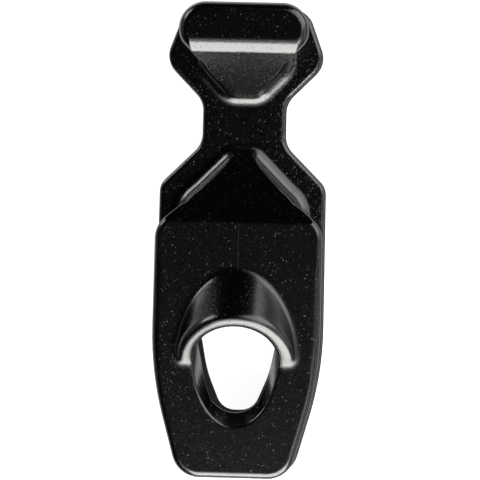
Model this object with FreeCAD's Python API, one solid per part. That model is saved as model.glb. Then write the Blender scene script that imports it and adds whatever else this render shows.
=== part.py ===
import FreeCAD, Part

import math
import os

# A one-piece horn cleat with a hooded line exit, lying on its mounting face.
# Millimetres. x runs across the cleat, y along it towards the upper horn, z out of the mounting face.
# The origin is the middle of the mounting face. The cleat is symmetrical about x = 0.

HALF_LENGTH = 51.0
PLATE_THICKNESS = 3.5
PLATE_EDGE_RADIUS = 0.9
MOULD_DRAFT = math.radians(3.0)

# Both horns: front faces level, a thin overhanging plate on a narrower post.
FACE_HEIGHT = 15.5
HORN_THICKNESS = 3.7
UNDERSIDE_EDGE_RADIUS = 1.0
UNDERSIDE = FACE_HEIGHT - HORN_THICKNESS
CHANNEL_RADIUS = 1.6
OVERHANG = 5.6

# Base plate: an hourglass. Top, widest points, neck, and the lower end's taper.
BASE_TOP_Y = HALF_LENGTH - 0.5
BASE_TOP_HALF_WIDTH = 13.2
HEAD_HALF_WIDTH = 17.6
HEAD_WIDEST_Y = 38.6
NECK_HALF_WIDTH = 9.1
NECK_TOP_Y = 29.95
NECK_FOOT_Y = 20.75
BASE_CORNER_RADIUS = 5.0
LOWER_HALF_WIDTH = 18.35
BASE_SHOULDER_HALF_WIDTH = LOWER_HALF_WIDTH - 0.25
BASE_SHOULDER_Y = 11.8
BASE_SHOULDER_RADIUS = 4.0
BASE_LIP = 0.25

# Lower horn: a rectangle that tapers to its lower end, under a roof-shaped facet.
HORN_HALF_WIDTH = LOWER_HALF_WIDTH - BASE_LIP
LOWER_SHOULDER_HALF_WIDTH = HORN_HALF_WIDTH - 0.1
LOWER_SHOULDER_RADIUS = 6.0
BEND_Y = -28.6
BEND_RADIUS = 70.0
LOWER_END_HALF_WIDTH = 11.85
LOWER_CORNER_RADIUS = 6.0
LOWER_SHOULDER_Y = 2.8
LOWER_WAIST = (9.0, 10.5, 25.0)
LOWER_APEX_Y = 17.4
LOWER_APEX_HALF_WIDTH = 2.2
LOWER_APEX_RADIUS = 1.5
LOWER_EDGE_RADIUS = 1.3
LOWER_POST_HALF_WIDTH = 12.2
LOWER_POST_SHOULDER_RADIUS = 6.0
LOWER_POST_EXTRA_RADIUS = 3.0
LOWER_ROOT_RADIUS = 3.5
LOWER_FACET_FOOT_Y = 19.15
LOWER_FACET_FOOT_Z = 3.97
LOWER_FACET_TOP_Y = 3.7
LOWER_FACET_RIM_RADIUS = 0.35

# Upper horn: a T-shaped head on a V-shaped post.
HEAD_HORN_HALF_WIDTH = 14.0
HEAD_HORN_TOP_RADIUS = 5.8
HEAD_SHOULDER_Y = 43.0
HEAD_SHOULDER_RADIUS = 4.5
UPPER_APEX_Y = 31.8
UPPER_APEX_HALF_WIDTH = 3.1
UPPER_APEX_RADIUS = 3.5
UPPER_EDGE_RADIUS = 2.0
UPPER_POST_HALF_WIDTH = 8.8
UPPER_POST_TOP_Y = 46.0
UPPER_POST_TOP_RADIUS = 3.0
UPPER_POST_SHOULDER_RADIUS = 5.0
UPPER_ROOT_RADIUS = 3.0
UPPER_FACET_FOOT_Y = 30.65
UPPER_FACET_FOOT_Z = 4.14
UPPER_FACET_TOP_Y = 41.5
UPPER_RIDGE_RADIUS = 4.5

# Hooded line exit: a tube that leans out of the lower horn, sliced off by a plane.
LINE_ANGLE = math.radians(38.0)
HOOD_RADIUS = 13.0
HOOD_AXIS_Y = -27.5
HOOD_CREST_Y = -16.7
HOOD_CREST_Z = 23.5
HOOD_SLICE_SLOPE = math.tan(math.radians(38.7))
HOOD_FOOT_Y = HOOD_CREST_Y - (HOOD_CREST_Z - FACE_HEIGHT) / HOOD_SLICE_SLOPE
HOOD_ROOT_RADIUS = 0.5
HOOD_SINK = 1.5
HOOD_BACK_Y = 10.0
LINE_RADIUS = 9.1
LINE_AXIS_Y = -25.4
LIP_RADIUS = 1.5
MOUTH_RADIUS = 0.6

# Window straight through below the leaning passage: the right half of its outline at its back and at its
# front, from the top down, each corner (x, y, radius). It is drafted, so its foot leans outwards.
WINDOW_BACK = [(9.05, -5.0, 0.0), (9.05, -16.5, 12.0), (6.8, -28.5, 25.0), (3.3, -36.9, 4.0)]
WINDOW_FRONT = [(9.05, -5.0, 0.0), (9.05, -21.5, 12.0), (6.3, -32.0, 25.0), (3.8, -37.3, 4.3)]
WINDOW_BACK_Z = -1.0
WINDOW_FRONT_Z = 13.0

# Moulded-in brass inserts for M4 screws from behind.
INSERT_Y = 41.0
INSERT_RADIUS = 2.8
INSERT_LENGTH = 8.0
INSERT_GROOVE_RADIUS = 2.35
INSERT_GROOVE_HALF = 0.7
KNURL_TEETH = 20
KNURL_DEPTH = 0.25
THREAD_RADIUS = 1.65
THREAD_DEPTH = 7.0
THREAD_CHAMFER = 0.45

FAR = 60.0
CLEARANCE = 5.0
FACET_TOOL_REACH = 12.0
TOUCH = 1e-3
X_AXIS = FreeCAD.Vector(1, 0, 0)
Z_AXIS = FreeCAD.Vector(0, 0, 1)
LINE_OUT = FreeCAD.Vector(0, -math.cos(LINE_ANGLE), math.sin(LINE_ANGLE))


def unit(vector):
    return vector * (1.0 / vector.Length)


def plan(u, v, z):
    """A point of a plan outline at height z."""
    return FreeCAD.Vector(u, v, z)


def side(u, v, x):
    """A point of a side outline, (y, z), at distance x from the middle."""
    return FreeCAD.Vector(x, u, v)


def rounded_outline(corners, place, level):
    """A closed wire through sharp corners (u, v, radius), each rounded by its own radius."""
    spans = []
    for index, (u, v, radius) in enumerate(corners):
        corner = FreeCAD.Vector(u, v, 0)
        before = FreeCAD.Vector(*corners[index - 1][:2], 0)
        after = FreeCAD.Vector(*corners[(index + 1) % len(corners)][:2], 0)
        back = unit(before - corner)
        ahead = unit(after - corner)
        half_angle = back.getAngle(ahead) / 2
        reach = radius / math.tan(half_angle)
        middle = corner + unit(back + ahead) * (radius / math.sin(half_angle) - radius)
        points = (corner + back * reach, middle, corner + ahead * reach)
        spans.append([place(point.x, point.y, level) for point in points])
    edges = []
    for index, (start, middle, end) in enumerate(spans):
        if (end - start).Length > 1e-6:
            edges.append(Part.Arc(start, middle, end).toShape())
        following = spans[(index + 1) % len(spans)][0]
        if (following - end).Length > 1e-6:
            edges.append(Part.LineSegment(end, following).toShape())
    return Part.Wire(edges)


def whole(right_half):
    """A symmetrical outline from its right half, which is listed from the top down."""
    return right_half + [(-x, y, radius) for x, y, radius in reversed(right_half)]


def inset(corners, distance):
    """The same clockwise outline moved inwards. Outside corners get tighter, inside corners wider."""
    moved = []
    for index, (u, v, radius) in enumerate(corners):
        corner = FreeCAD.Vector(u, v, 0)
        before = FreeCAD.Vector(*corners[index - 1][:2], 0)
        after = FreeCAD.Vector(*corners[(index + 1) % len(corners)][:2], 0)
        arriving = unit(corner - before)
        leaving = unit(after - corner)
        turn = arriving.cross(leaving).z
        into = unit(FreeCAD.Vector(arriving.y + leaving.y, -arriving.x - leaving.x, 0))
        cosine = into.dot(FreeCAD.Vector(arriving.y, -arriving.x, 0))
        point = corner + into * (distance / cosine)
        moved.append((point.x, point.y, radius + (distance if turn > 0 else -distance)))
    return moved


def prism(corners, low, high):
    """A plan outline raised from one height to another."""
    return Part.Face(rounded_outline(corners, plan, low)).extrude(Z_AXIS * (high - low))


def slab_across(corners):
    """A side outline, (y, z, radius), carried right across the cleat."""
    return Part.Face(rounded_outline(corners, side, -FAR)).extrude(X_AXIS * 2 * FAR)


def edges_where(shape, *tests):
    """The edges on which every test holds at the start, the middle and the end."""
    chosen = []
    for edge in shape.Edges:
        length = edge.LastParameter - edge.FirstParameter
        points = [edge.valueAt(edge.FirstParameter + length * share) for share in (0.0, 0.5, 1.0)]
        if all(test(point) for test in tests for point in points):
            chosen.append(edge)
    return chosen


def at_height(z):
    return lambda point: abs(point.z - z) < TOUCH


def on_outline(outline, z):
    wire = rounded_outline(outline, plan, z)
    return lambda point: wire.distToShape(Part.Vertex(point))[0] < TOUCH


def on_leaning_rod(radius, crossing_y):
    crossing = FreeCAD.Vector(0, crossing_y, FACE_HEIGHT)
    return lambda point: abs((point - crossing).cross(LINE_OUT).Length - radius) < TOUCH


def on_slope(low_y, low_z, high_y, high_z):
    """On the sloping plane that runs straight across the cleat through two side points."""
    rise = (high_z - low_z) / (high_y - low_y)
    return lambda point: abs(point.z - low_z - (point.y - low_y) * rise) < TOUCH


def between(low_y, high_y):
    return lambda point: low_y - TOUCH < point.y < high_y + TOUCH


def base_outline():
    return whole(
        [
            (BASE_TOP_HALF_WIDTH, BASE_TOP_Y, BASE_CORNER_RADIUS),
            (HEAD_HALF_WIDTH, HEAD_WIDEST_Y, BASE_CORNER_RADIUS),
            (NECK_HALF_WIDTH, NECK_TOP_Y, BASE_CORNER_RADIUS),
            (NECK_HALF_WIDTH, NECK_FOOT_Y, BASE_CORNER_RADIUS),
            (BASE_SHOULDER_HALF_WIDTH, BASE_SHOULDER_Y, BASE_SHOULDER_RADIUS),
            (LOWER_HALF_WIDTH, BEND_Y, BEND_RADIUS),
            (LOWER_END_HALF_WIDTH + BASE_LIP, -HALF_LENGTH, LOWER_CORNER_RADIUS),
        ]
    )


def lower_horn_outline():
    return whole(
        [
            (LOWER_APEX_HALF_WIDTH, LOWER_APEX_Y, LOWER_APEX_RADIUS),
            LOWER_WAIST,
            (LOWER_SHOULDER_HALF_WIDTH, LOWER_SHOULDER_Y, LOWER_SHOULDER_RADIUS),
            (HORN_HALF_WIDTH, BEND_Y, BEND_RADIUS),
            (LOWER_END_HALF_WIDTH, -HALF_LENGTH, LOWER_CORNER_RADIUS),
        ]
    )


def lower_post_outline():
    """The lower horn's outline drawn in by the overhang, except along the facet's two edges."""
    waist_x, waist_y, waist_radius = LOWER_WAIST
    run = (LOWER_SHOULDER_HALF_WIDTH - waist_x) / (waist_y - LOWER_SHOULDER_Y)
    shoulder_y = waist_y - (LOWER_POST_HALF_WIDTH - waist_x) / run
    drawn_in = inset(lower_horn_outline(), OVERHANG)
    bend_x, bend_y, bend_radius = drawn_in[3]
    end_x, end_y, end_radius = drawn_in[4]
    return whole(
        [
            (LOWER_APEX_HALF_WIDTH, LOWER_APEX_Y, LOWER_APEX_RADIUS),
            (waist_x, waist_y, waist_radius),
            (LOWER_POST_HALF_WIDTH, shoulder_y, LOWER_POST_SHOULDER_RADIUS),
            (bend_x, bend_y, bend_radius),
            (end_x, end_y, end_radius + LOWER_POST_EXTRA_RADIUS),
        ]
    )


def upper_horn_outline():
    return whole(
        [
            (HEAD_HORN_HALF_WIDTH, HALF_LENGTH, HEAD_HORN_TOP_RADIUS),
            (HEAD_HORN_HALF_WIDTH, HEAD_SHOULDER_Y, HEAD_SHOULDER_RADIUS),
            (UPPER_APEX_HALF_WIDTH, UPPER_APEX_Y, UPPER_APEX_RADIUS),
        ]
    )


def upper_post_outline():
    """A narrower outline whose lower two sides are the upper horn's own."""
    run = (HEAD_HORN_HALF_WIDTH - UPPER_APEX_HALF_WIDTH) / (HEAD_SHOULDER_Y - UPPER_APEX_Y)
    shoulder_y = UPPER_APEX_Y + (UPPER_POST_HALF_WIDTH - UPPER_APEX_HALF_WIDTH) / run
    return whole(
        [
            (UPPER_POST_HALF_WIDTH, UPPER_POST_TOP_Y, UPPER_POST_TOP_RADIUS),
            (UPPER_POST_HALF_WIDTH, shoulder_y, UPPER_POST_SHOULDER_RADIUS),
            (UPPER_APEX_HALF_WIDTH, UPPER_APEX_Y, UPPER_APEX_RADIUS),
        ]
    )


def base_plate():
    """The mounting plate, drafted towards its front and rounded along its front edge."""
    draft = PLATE_THICKNESS * math.tan(MOULD_DRAFT)
    back = rounded_outline(base_outline(), plan, 0.0)
    front = rounded_outline(inset(base_outline(), draft), plan, PLATE_THICKNESS)
    plate = Part.makeLoft([back, front], True, True)
    return plate.makeFillet(PLATE_EDGE_RADIUS, edges_where(plate, at_height(PLATE_THICKNESS)))


def horn_plate(outline, edge_radius):
    """A horn's overhanging plate, rounded along its front and back edges."""
    plate = prism(outline, UNDERSIDE, FACE_HEIGHT)
    plate = plate.makeFillet(edge_radius, edges_where(plate, at_height(FACE_HEIGHT)))
    return plate.makeFillet(UNDERSIDE_EDGE_RADIUS, edges_where(plate, at_height(UNDERSIDE)))


def facet_tool(foot_y, foot_z, top_y, ridge_radius):
    """What is cut away above a horn's sloping facet, from the neck up to the front face."""
    above = FACE_HEIGHT + CLEARANCE
    uphill = math.copysign(1.0, top_y - foot_y)
    inside_y = top_y + uphill * FACET_TOOL_REACH
    beyond_y = foot_y - uphill * CLEARANCE
    return slab_across(
        [
            (foot_y, foot_z, 0.0),
            (top_y, FACE_HEIGHT, ridge_radius),
            (inside_y, FACE_HEIGHT, 0.0),
            (inside_y, above, 0.0),
            (beyond_y, above, 0.0),
            (beyond_y, foot_z, 0.0),
        ]
    )


def leaning_rod(radius, crossing_y):
    """A long round bar along the line's way out, whose axis crosses the front face at crossing_y."""
    crossing = FreeCAD.Vector(0, crossing_y, FACE_HEIGHT)
    return Part.makeCylinder(radius, 2 * FAR, crossing - LINE_OUT * FAR, LINE_OUT)


def hood():
    """The tube's outside above the front face, with its mouth sliced off."""
    rod = leaning_rod(HOOD_RADIUS, HOOD_AXIS_Y)
    foot_z = FACE_HEIGHT - HOOD_SINK
    top_z = HOOD_CREST_Z + CLEARANCE
    foot_y = HOOD_CREST_Y - (HOOD_CREST_Z - foot_z) / HOOD_SLICE_SLOPE
    top_y = HOOD_CREST_Y + (top_z - HOOD_CREST_Z) / HOOD_SLICE_SLOPE
    keep = slab_across(
        [(foot_y, foot_z, 0.0), (top_y, top_z, 0.0), (HOOD_BACK_Y, top_z, 0.0), (HOOD_BACK_Y, foot_z, 0.0)]
    )
    sliced = rod.common(keep)
    on_slice = on_slope(foot_y, foot_z, top_y, top_z)
    lip = edges_where(sliced, on_slice, on_leaning_rod(HOOD_RADIUS, HOOD_AXIS_Y))
    return sliced.makeFillet(LIP_RADIUS, lip)


def window():
    """The straight way through to the back, as far up as the middle of the leaning passage."""
    back = rounded_outline(whole(WINDOW_BACK), plan, WINDOW_BACK_Z)
    front = rounded_outline(whole(WINDOW_FRONT), plan, WINDOW_FRONT_Z)
    shaft = Part.makeLoft([back, front], True, True)
    slope = math.tan(LINE_ANGLE)
    axis_front_z = FACE_HEIGHT + (LINE_AXIS_Y + FAR) * slope
    axis_back_z = FACE_HEIGHT + (LINE_AXIS_Y - FAR) * slope
    below_axis = slab_across([(-FAR, axis_front_z, 0.0), (FAR, axis_back_z, 0.0), (-FAR, axis_back_z, 0.0)])
    return shaft.common(below_axis)


def insert_body(y):
    """A knurled insert without its thread: two toothed bands with a groove between them."""
    teeth = []
    for index in range(2 * KNURL_TEETH):
        radius = INSERT_RADIUS - (KNURL_DEPTH if index % 2 else 0.0)
        angle = math.pi * index / KNURL_TEETH
        teeth.append((radius * math.cos(angle), y + radius * math.sin(angle), 0.0))
    groove_low = INSERT_LENGTH / 2 - INSERT_GROOVE_HALF
    groove_high = INSERT_LENGTH / 2 + INSERT_GROOVE_HALF
    core = Part.makeCylinder(INSERT_GROOVE_RADIUS, INSERT_LENGTH, FreeCAD.Vector(0, y, 0))
    bands = prism(teeth, 0.0, groove_low).fuse(prism(teeth, groove_high, INSERT_LENGTH))
    return core.fuse(bands).removeSplitter()


def threaded_insert(y):
    """An insert with its blind hole, open at the mounting face and chamfered at the mouth."""
    hole = Part.makeCylinder(THREAD_RADIUS, THREAD_DEPTH, FreeCAD.Vector(0, y, 0))
    mouth_radius = THREAD_RADIUS + THREAD_CHAMFER
    mouth = Part.makeCone(mouth_radius, THREAD_RADIUS, THREAD_CHAMFER, FreeCAD.Vector(0, y, 0))
    return insert_body(y).cut(hole.fuse(mouth))


def horns_on_plate():
    """The base plate with both horns still square-topped, their roots and line channels rounded."""
    lower_post = lower_post_outline()
    upper_post = upper_post_outline()
    body = base_plate()
    for post in (lower_post, upper_post):
        body = body.fuse(prism(post, PLATE_THICKNESS / 2, FACE_HEIGHT - HORN_THICKNESS / 2))
    plates = [
        horn_plate(lower_horn_outline(), LOWER_EDGE_RADIUS),
        horn_plate(upper_horn_outline(), UPPER_EDGE_RADIUS),
    ]
    body = body.fuse(plates)
    for post, root_radius in ((lower_post, LOWER_ROOT_RADIUS), (upper_post, UPPER_ROOT_RADIUS)):
        body = body.makeFillet(root_radius, edges_where(body, on_outline(post, PLATE_THICKNESS)))
        body = body.makeFillet(CHANNEL_RADIUS, edges_where(body, on_outline(post, UNDERSIDE)))
    return body


def faceted_horns():
    """The horns with the sloping facets that lead the line down to the neck, the lower one's rim eased."""
    lower = facet_tool(LOWER_FACET_FOOT_Y, LOWER_FACET_FOOT_Z, LOWER_FACET_TOP_Y, 0.0)
    upper = facet_tool(UPPER_FACET_FOOT_Y, UPPER_FACET_FOOT_Z, UPPER_FACET_TOP_Y, UPPER_RIDGE_RADIUS)
    body = horns_on_plate().cut([lower, upper])
    on_lower = on_slope(LOWER_FACET_FOOT_Y, LOWER_FACET_FOOT_Z, LOWER_FACET_TOP_Y, FACE_HEIGHT)
    lower_rim = edges_where(body, on_lower, between(LOWER_FACET_TOP_Y, LOWER_APEX_Y))
    return body.makeFillet(LOWER_FACET_RIM_RADIUS, lower_rim)


def hooded_horns():
    """The horns with the hood's root rounded into the lower horn's face, before the line's passage."""
    body = faceted_horns().fuse(hood()).removeSplitter()
    hood_roots = edges_where(body, at_height(FACE_HEIGHT), on_leaning_rod(HOOD_RADIUS, HOOD_AXIS_Y))
    return body.makeFillet(HOOD_ROOT_RADIUS, hood_roots)


def cleat_body():
    body = hooded_horns()
    passage = leaning_rod(LINE_RADIUS, LINE_AXIS_Y).fuse(window())
    body = body.cut(passage).removeSplitter()
    on_bore = on_leaning_rod(LINE_RADIUS, LINE_AXIS_Y)
    on_slice = on_slope(HOOD_FOOT_Y, FACE_HEIGHT, HOOD_CREST_Y, HOOD_CREST_Z)
    mouth = edges_where(body, on_slice, on_bore)
    rim = edges_where(body, on_bore, at_height(FACE_HEIGHT))
    body = body.makeFillet(MOUTH_RADIUS, mouth + rim)
    return body.cut([insert_body(INSERT_Y), insert_body(-INSERT_Y)])


def main():
    os.makedirs("parts", exist_ok=True)
    nodes = {
        "cleat_body": cleat_body(),
        "upper_insert": threaded_insert(INSERT_Y),
        "lower_insert": threaded_insert(-INSERT_Y),
    }
    for name, shape in nodes.items():
        print(name, len(shape.Solids), shape.isValid(), round(shape.Volume, 1))
        shape.exportStep(f"parts/{name}.step")


main()
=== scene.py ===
import math

import bpy
from mathutils import Matrix, Vector


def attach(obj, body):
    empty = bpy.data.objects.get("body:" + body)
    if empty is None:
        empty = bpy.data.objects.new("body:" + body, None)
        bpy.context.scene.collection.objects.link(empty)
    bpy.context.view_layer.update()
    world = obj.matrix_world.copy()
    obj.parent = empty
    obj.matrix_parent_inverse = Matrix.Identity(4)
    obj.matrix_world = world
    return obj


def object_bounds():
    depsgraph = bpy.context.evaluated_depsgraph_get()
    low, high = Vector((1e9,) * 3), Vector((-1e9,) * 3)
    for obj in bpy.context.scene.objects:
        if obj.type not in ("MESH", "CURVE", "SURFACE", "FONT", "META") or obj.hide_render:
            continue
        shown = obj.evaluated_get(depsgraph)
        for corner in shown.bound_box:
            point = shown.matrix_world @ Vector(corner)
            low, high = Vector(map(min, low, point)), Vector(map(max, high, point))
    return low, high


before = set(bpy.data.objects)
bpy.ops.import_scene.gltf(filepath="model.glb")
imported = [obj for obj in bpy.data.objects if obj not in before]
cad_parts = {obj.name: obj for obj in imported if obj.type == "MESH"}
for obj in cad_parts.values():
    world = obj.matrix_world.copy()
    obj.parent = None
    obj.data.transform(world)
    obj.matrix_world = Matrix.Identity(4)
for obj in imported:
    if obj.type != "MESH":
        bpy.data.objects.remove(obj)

MM = 0.001
CAD_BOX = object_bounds()
FACE_Z = 15.5 * MM

# ---------------------------------------------------------------- camera

# The cleat lies on its mounting face and is seen from straight above its front, a little from the right.
CAMERA_DISTANCE = 816 * MM
CAMERA_YAW = math.radians(2.7)
CAMERA_ROLL = math.radians(1.44)
VIEW_WIDTH = 102.6 * MM
AIM = Vector((0.36 * MM, 0.0, FACE_Z))


def add_camera():
    data = bpy.data.cameras.new("camera")
    data.angle = 2 * math.atan(VIEW_WIDTH / 2 / CAMERA_DISTANCE)
    data.clip_start = 0.01
    camera = bpy.data.objects.new("camera", data)
    bpy.context.scene.collection.objects.link(camera)
    turn = Matrix.Rotation(CAMERA_YAW, 4, "Y") @ Matrix.Rotation(CAMERA_ROLL, 4, "Z")
    camera.matrix_world = Matrix.Translation(AIM) @ turn @ Matrix.Translation((0, 0, CAMERA_DISTANCE))
    bpy.context.scene.camera = camera


# ---------------------------------------------------------------- materials

# Texture scales are in features per metre. A speck stands this many times higher than the grain.
GRAIN_SCALE = 3300.0
RIPPLE_SCALE = 260.0
SPECK_SCALE = 2900.0
SPECK_HEIGHT = 2.2
GRAIN_HEIGHT = 0.02 * MM

# How far shading rounds the sharp edges, and the stretch that holds the hood, where it rounds more.
EDGE_SOFTNESS = 0.25 * MM
HOOD_SOFTNESS = 1.8 * MM
HOOD_FOOT_Y = -28.0 * MM
HOOD_BACK_Y = -6.0 * MM

# The right-hand roots and base plate, where the specks lie closer and their pale colour paints glints where
# the light falls from the right: across from here, and below this height.
GLINT_SPECKS_FROM_X = 5.0 * MM
GLINT_SPECKS_BELOW_Z = 10.0 * MM
GLINT_SPECK_SCALE = 2300.0


def new_material(name):
    material = bpy.data.materials.new(name)
    material.use_nodes = True
    nodes = material.node_tree.nodes
    return material, nodes, material.node_tree.links, nodes["Principled BSDF"]


def noise(nodes, links, place, scale, detail, roughness):
    texture = nodes.new("ShaderNodeTexNoise")
    texture.inputs["Scale"].default_value = scale
    texture.inputs["Detail"].default_value = detail
    texture.inputs["Roughness"].default_value = roughness
    links.new(place.outputs["Object"], texture.inputs["Vector"])
    return texture.outputs["Fac"]


def remap(nodes, links, value, low, high, to_low, to_high):
    span = nodes.new("ShaderNodeMapRange")
    span.inputs["From Min"].default_value = low
    span.inputs["From Max"].default_value = high
    span.inputs["To Min"].default_value = to_low
    span.inputs["To Max"].default_value = to_high
    links.new(value, span.inputs["Value"])
    return span.outputs["Result"]


def multiply(nodes, links, first, second):
    product = nodes.new("ShaderNodeMath")
    product.operation = "MULTIPLY"
    links.new(first, product.inputs[0])
    links.new(second, product.inputs[1])
    return product.outputs["Value"]


def add(nodes, links, first, second):
    total = nodes.new("ShaderNodeMath")
    links.new(first, total.inputs[0])
    links.new(second, total.inputs[1])
    return total.outputs["Value"]


def mould_specks(nodes, links, place, scale, rarity, reach):
    """Small round specks, one in some of the cells of a grid of random cells."""
    cells = nodes.new("ShaderNodeTexVoronoi")
    cells.inputs["Scale"].default_value = scale
    links.new(place.outputs["Object"], cells.inputs["Vector"])
    lot = nodes.new("ShaderNodeSeparateColor")
    links.new(cells.outputs["Color"], lot.inputs["Color"])
    drawn = remap(nodes, links, lot.outputs["Red"], rarity, 1.0, 0.0, 1.0)
    spot = remap(nodes, links, cells.outputs["Distance"], 0.0, reach, 1.0, 0.0)
    return multiply(nodes, links, drawn, spot)


def right_bumps_and_painted_glints(nodes, links, place):
    """Closer specks on the roots and the base plate, on the right only, where the light falls: raised bumps,
    and pale colour that paints glints there.
    """
    split = nodes.new("ShaderNodeSeparateXYZ")
    links.new(place.outputs["Object"], split.inputs["Vector"])
    on_right = remap(nodes, links, split.outputs["X"], GLINT_SPECKS_FROM_X, GLINT_SPECKS_FROM_X + 3.0 * MM, 0.0, 1.0)
    low = remap(nodes, links, split.outputs["Z"], GLINT_SPECKS_BELOW_Z - 3.0 * MM, GLINT_SPECKS_BELOW_Z, 1.0, 0.0)
    marks = mould_specks(nodes, links, place, GLINT_SPECK_SCALE, 0.45, 0.42)
    return multiply(nodes, links, marks, multiply(nodes, links, on_right, low))


def softened_edges(nodes, links, place):
    """Normals that round off the sharp edges: a hair's breadth, and more round the hood's lip and root."""
    split = nodes.new("ShaderNodeSeparateXYZ")
    links.new(place.outputs["Object"], split.inputs["Vector"])
    raised = remap(nodes, links, split.outputs["Z"], FACE_Z - 0.3 * MM, FACE_Z, 0.0, 1.0)
    past_foot = remap(nodes, links, split.outputs["Y"], HOOD_FOOT_Y - 1.5 * MM, HOOD_FOOT_Y, 0.0, 1.0)
    before_back = remap(nodes, links, split.outputs["Y"], HOOD_BACK_Y, HOOD_BACK_Y + 1.0 * MM, 1.0, 0.0)
    on_hood = multiply(nodes, links, raised, multiply(nodes, links, past_foot, before_back))
    rounding = nodes.new("ShaderNodeBevel")
    rounding.samples = 8
    links.new(remap(nodes, links, on_hood, 0.0, 1.0, EDGE_SOFTNESS, HOOD_SOFTNESS), rounding.inputs["Radius"])
    return rounding.outputs["Normal"]


def moulding_material(name, edges_softened):
    """Glossy black nylon with the mould's fine spark-eroded grain and a scatter of small specks, raised in the
    bump and painted pale as glints.

    edges_softened is for the cleat itself. The parting line is narrower than the rounding, so it goes without.
    """
    material, nodes, links, shader = new_material(name)
    place = nodes.new("ShaderNodeTexCoord")
    grain = noise(nodes, links, place, GRAIN_SCALE, 2.0, 0.55)
    ripple = noise(nodes, links, place, RIPPLE_SCALE, 2.0, 0.5)
    scattered = mould_specks(nodes, links, place, SPECK_SCALE, 0.84, 0.4)
    specks_and_painted_glints = add(nodes, links, scattered, right_bumps_and_painted_glints(nodes, links, place))

    bump = nodes.new("ShaderNodeBump")
    bump.inputs["Strength"].default_value = 1.0
    bump.inputs["Distance"].default_value = GRAIN_HEIGHT
    raised = remap(nodes, links, specks_and_painted_glints, 0.0, 1.0, 0.0, SPECK_HEIGHT)
    height = add(nodes, links, grain, add(nodes, links, ripple, raised))
    links.new(height, bump.inputs["Height"])
    if edges_softened:
        links.new(softened_edges(nodes, links, place), bump.inputs["Normal"])
    links.new(bump.outputs["Normal"], shader.inputs["Normal"])

    # The specks' pale base colour is painted glints: light caught by the specks, painted into the colour.
    colour = nodes.new("ShaderNodeMix")
    colour.data_type = "RGBA"
    colour.inputs["A"].default_value = (0.0003, 0.0003, 0.0003, 1)
    colour.inputs["B"].default_value = (0.022, 0.021, 0.022, 1)
    links.new(specks_and_painted_glints, colour.inputs["Factor"])
    links.new(colour.outputs["Result"], shader.inputs["Base Color"])

    links.new(remap(nodes, links, grain, 0.3, 0.7, 0.12, 0.22), shader.inputs["Roughness"])
    shader.inputs["IOR"].default_value = 1.5
    shader.inputs["Specular IOR Level"].default_value = 0.55
    return material


def brass_material():
    """Turned brass, a little dulled in patches."""
    material, nodes, links, shader = new_material("insert_brass")
    place = nodes.new("ShaderNodeTexCoord")
    dull = noise(nodes, links, place, 900.0, 2.0, 0.5)
    colour = nodes.new("ShaderNodeMix")
    colour.data_type = "RGBA"
    colour.inputs["A"].default_value = (0.62, 0.42, 0.16, 1)
    colour.inputs["B"].default_value = (0.78, 0.58, 0.28, 1)
    links.new(dull, colour.inputs["Factor"])
    links.new(colour.outputs["Result"], shader.inputs["Base Color"])
    links.new(remap(nodes, links, dull, 0.0, 1.0, 0.2, 0.45), shader.inputs["Roughness"])
    shader.inputs["Metallic"].default_value = 1.0
    return material


def floor_material():
    """A pale, evenly lit table top."""
    material, nodes, links, shader = new_material("pale_floor")
    shader.inputs["Base Color"].default_value = (0.2, 0.2, 0.2, 1)
    shader.inputs["Roughness"].default_value = 0.8
    shader.inputs["Emission Color"].default_value = (1, 1, 1, 1)
    shader.inputs["Emission Strength"].default_value = 0.95
    return material


def dress(node, material):
    """Give a CAD node its material."""
    thing = bpy.data.objects[node]
    thing.data.materials.clear()
    thing.data.materials.append(material)


# ---------------------------------------------------------------- parting line

PARTING_LINE_TOP_Y = 3.5 * MM
PARTING_LINE_END_Y = -6.2 * MM


def add_parting_line(material):
    """The low ridge the mould's halves leave along the lower horn's face, from its facet to the hood."""
    half_width = 0.1 * MM
    crest_z = FACE_Z + 0.08 * MM
    foot_z = FACE_Z - 0.03 * MM
    section = [(-half_width, foot_z), (half_width, foot_z), (0.0, crest_z)]
    corners = [(x, y, z) for y in (PARTING_LINE_TOP_Y, PARTING_LINE_END_Y) for x, z in section]
    mesh = bpy.data.meshes.new("parting_line")
    mesh.from_pydata(corners, [], [(0, 1, 2), (5, 4, 3), (0, 3, 4, 1), (1, 4, 5, 2), (2, 5, 3, 0)])
    mesh.materials.append(material)
    ridge = bpy.data.objects.new("parting_line", mesh)
    bpy.context.scene.collection.objects.link(ridge)
    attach(ridge, "root")


# ---------------------------------------------------------------- stage

FLOOR_HALF_SIZE = 2.0
FLOOR_GAP = 0.2 * MM
WARM = (1.0, 0.975, 0.94)
COOL = (0.93, 0.965, 1.0)
TABLE_GLOW = 2.0
WALL_GLOW = 0.016


def add_floor():
    """The pale floor, which reflections look past to the surroundings."""
    mesh = bpy.data.meshes.new("floor")
    half = FLOOR_HALF_SIZE
    mesh.from_pydata(
        [(-half, -half, 0), (half, -half, 0), (half, half, 0), (-half, half, 0)], [], [(0, 1, 2, 3)]
    )
    floor = bpy.data.objects.new("floor", mesh)
    bpy.context.scene.collection.objects.link(floor)
    floor.location.z = CAD_BOX[0][2] - FLOOR_GAP
    mesh.materials.append(floor_material())
    floor.visible_glossy = False


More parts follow.
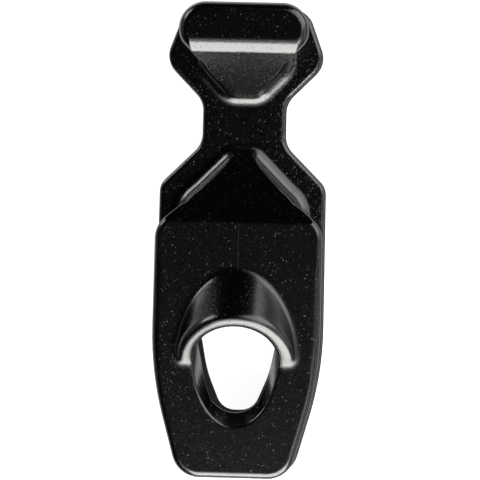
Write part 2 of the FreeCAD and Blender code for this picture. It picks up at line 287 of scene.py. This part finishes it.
def add_softbox(name, azimuth, from_vertical, distance, width, height, radiance, tint=(1.0, 1.0, 1.0)):
    """A soft rectangular light that faces the cleat. Azimuth 0 is on the +X side, 90 on the +Y side."""
    data = bpy.data.lights.new(name, "AREA")
    data.shape = "RECTANGLE"
    data.size = width
    data.size_y = height
    data.energy = radiance * math.pi * width * height
    data.color = tint
    light = bpy.data.objects.new(name, data)
    around = math.radians(azimuth)
    lean = math.radians(from_vertical)
    away = Vector((math.sin(lean) * math.cos(around), math.sin(lean) * math.sin(around), math.cos(lean)))
    light.location = away * distance
    light.rotation_euler = away.to_track_quat("Z", "Y").to_euler()
    bpy.context.scene.collection.objects.link(light)


def add_surroundings():
    """Dark studio walls, and below the horizon the pale table that only reflections reach."""
    world = bpy.data.worlds.new("studio")
    bpy.context.scene.world = world
    world.use_nodes = True
    nodes, links = world.node_tree.nodes, world.node_tree.links
    split = nodes.new("ShaderNodeSeparateXYZ")
    links.new(nodes.new("ShaderNodeTexCoord").outputs["Generated"], split.inputs["Vector"])
    table = remap(nodes, links, split.outputs["Z"], -0.88, -0.68, 0.03, TABLE_GLOW)
    far_fade = remap(nodes, links, split.outputs["Z"], -0.5, -0.2, 1.0, 0.25)
    below = remap(nodes, links, split.outputs["Z"], -0.04, 0.0, 1.0, WALL_GLOW / TABLE_GLOW)
    background = nodes["Background"]
    background.inputs["Color"].default_value = (1, 1, 1, 1)
    glow = multiply(nodes, links, table, multiply(nodes, links, far_fade, below))
    links.new(glow, background.inputs["Strength"])


def add_lights():
    """A bright box in front, keys and fills low at both sides, and a faint one overhead."""
    add_softbox("front_box", -77.0, 54.5, 0.9, 0.88, 0.92, 13.0, WARM)
    add_softbox("front_fringe", -72.0, 47.0, 0.92, 1.3, 1.35, 2.5, COOL)
    add_softbox("right_key", 42.0, 54.0, 0.9, 0.7, 1.0, 3.6, COOL)
    add_softbox("right_fill", 15.0, 70.0, 0.9, 1.5, 0.55, 1.5)
    add_softbox("left_key", 140.0, 71.0, 0.9, 0.32, 0.26, 9.0)
    add_softbox("left_fill", 165.0, 70.0, 0.9, 1.0, 0.3, 0.5)
    add_softbox("top_box", -90.0, 12.0, 1.0, 0.5, 0.4, 0.05)
    bpy.context.scene.view_settings.view_transform = "Standard"


add_camera()
dress("cleat_body", moulding_material("moulding", True))
add_parting_line(moulding_material("moulding_ridge", False))
brass = brass_material()
dress("upper_insert", brass)
dress("lower_insert", brass)
add_floor()
add_surroundings()
add_lights()
